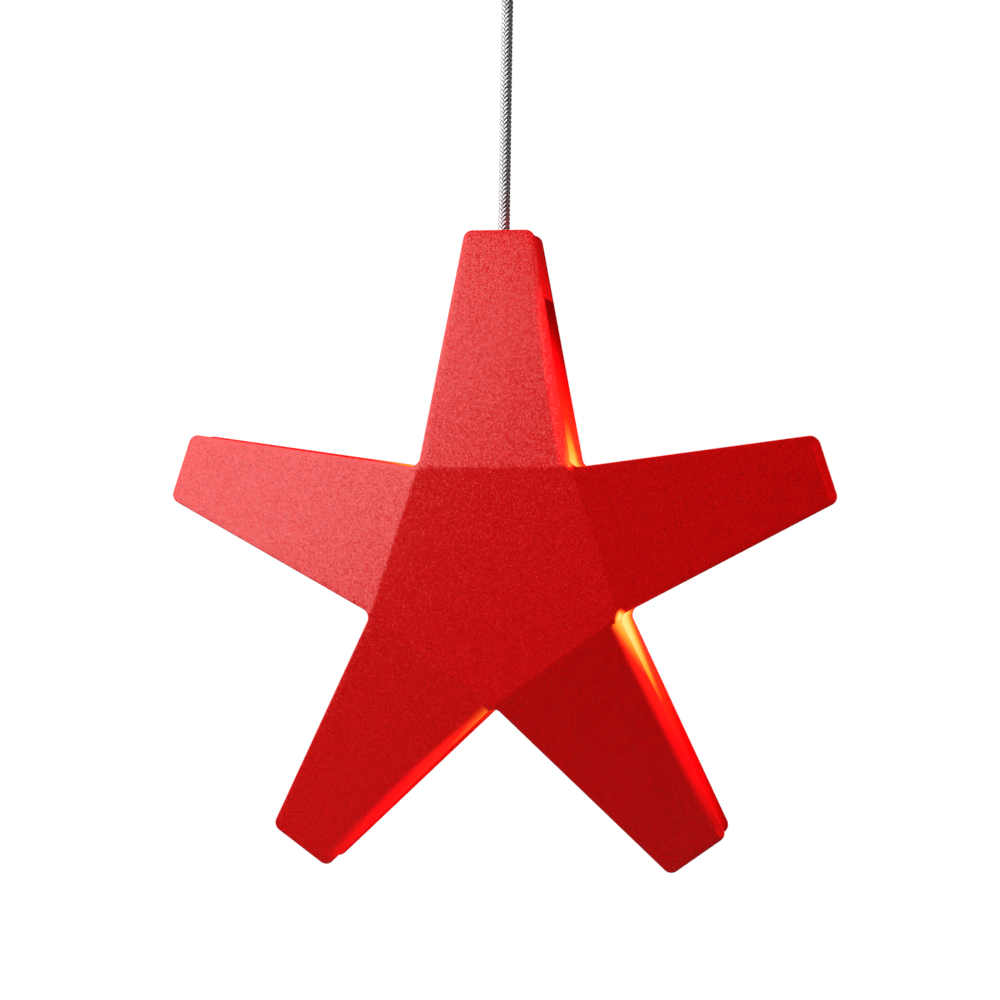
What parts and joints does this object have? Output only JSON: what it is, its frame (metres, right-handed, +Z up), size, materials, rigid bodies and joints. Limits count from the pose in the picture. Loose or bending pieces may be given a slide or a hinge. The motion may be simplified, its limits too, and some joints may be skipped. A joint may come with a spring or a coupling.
{
  "type": "advent star",
  "caption": "Hanging advent star: two folded red sheet-metal stars back to back round a small lamp, on a textile cord from a ceiling cup.",
  "frame": {"origin": "middle of the ceiling plate's flat top face, where it meets the ceiling", "axes": "+Z is up and out of the ceiling face, +X is to the right of the star's front, +Y runs from the star's front to its back; the star hangs below the origin"},
  "size_m": [0.4366, 0.084, 0.6543],
  "materials": {
    "red_coat": "satin powder coat with a fine grain",
    "zinc_steel": "zinc plated",
    "brass": "bright",
    "nickel": "nickel plated",
    "silver_textile": "braided, silver grey",
    "brown_sleeve": "smooth",
    "blue_sleeve": "smooth",
    "black_plastic": "moulded, satin",
    "white_plastic": "moulded, satin",
    "steatite": "unglazed",
    "opal_glass": "opal, lit",
    "clear_glass": "clear",
    "tungsten": "glowing wire"
  },
  "bodies": {
    "ceiling_fitting": {"ceiling_plate": "zinc_steel", "ceiling_hook": "zinc_steel", "cord_hanger": "white_plastic", "ceiling_cup": "white_plastic", "cup_gland": "white_plastic", "gland_screw": "zinc_steel", "gland_nut": "white_plastic", "cord_inside_cup": "silver_textile", "terminal_block": "white_plastic", "block_screw": "zinc_steel", "live_tail": "brown_sleeve", "neutral_tail": "blue_sleeve"},
    "hanging_cord": {"cord": "silver_textile"},
    "star": {"front_plate": "red_coat", "rear_plate": "red_coat", "top_strap": "red_coat", "strap_screw_left": "zinc_steel", "strap_screw_right": "zinc_steel", "post_1": "zinc_steel", "post_2": "zinc_steel", "post_3": "zinc_steel", "post_4": "zinc_steel", "rear_screw_1": "zinc_steel", "rear_screw_2": "zinc_steel", "rear_screw_3": "zinc_steel", "rear_screw_4": "zinc_steel", "cord_grommet": "black_plastic", "cord_grip": "white_plastic", "grip_screw": "white_plastic", "grip_nut": "zinc_steel", "stem_tube": "brass", "holder_nut": "zinc_steel", "holder_cap": "black_plastic", "holder_body": "black_plastic", "holder_insert": "steatite", "screw_shell": "brass", "centre_contact": "brass", "live_terminal": "brass", "live_terminal_screw": "zinc_steel", "live_core": "brown_sleeve", "neutral_terminal": "brass", "neutral_terminal_screw": "zinc_steel", "neutral_core": "blue_sleeve"},
    "bulb": {"bulb_tip_contact": "nickel", "bulb_insulator": "black_plastic", "bulb_cap": "nickel", "bulb_globe": "opal_glass", "bulb_stem": "clear_glass", "bulb_filament": "tungsten"}
  },
  "joints": [
    {"name": "cord_swing", "type": "hinge", "parent": "ceiling_fitting", "child": "hanging_cord", "pos_m": [0, 0, -0.05], "axis": [0, 1, 0], "range_deg": [-20, 20]},
    {"name": "star_twist", "type": "hinge", "parent": "hanging_cord", "child": "star", "pos_m": [0, 0, -0.239], "axis": [0, 0, 1], "range_deg": [-180, 180]},
    {"name": "bulb_release", "type": "slide", "parent": "star", "child": "bulb", "axis": [0, 0, -1], "range_m": [0, 0.026]}
  ]
}
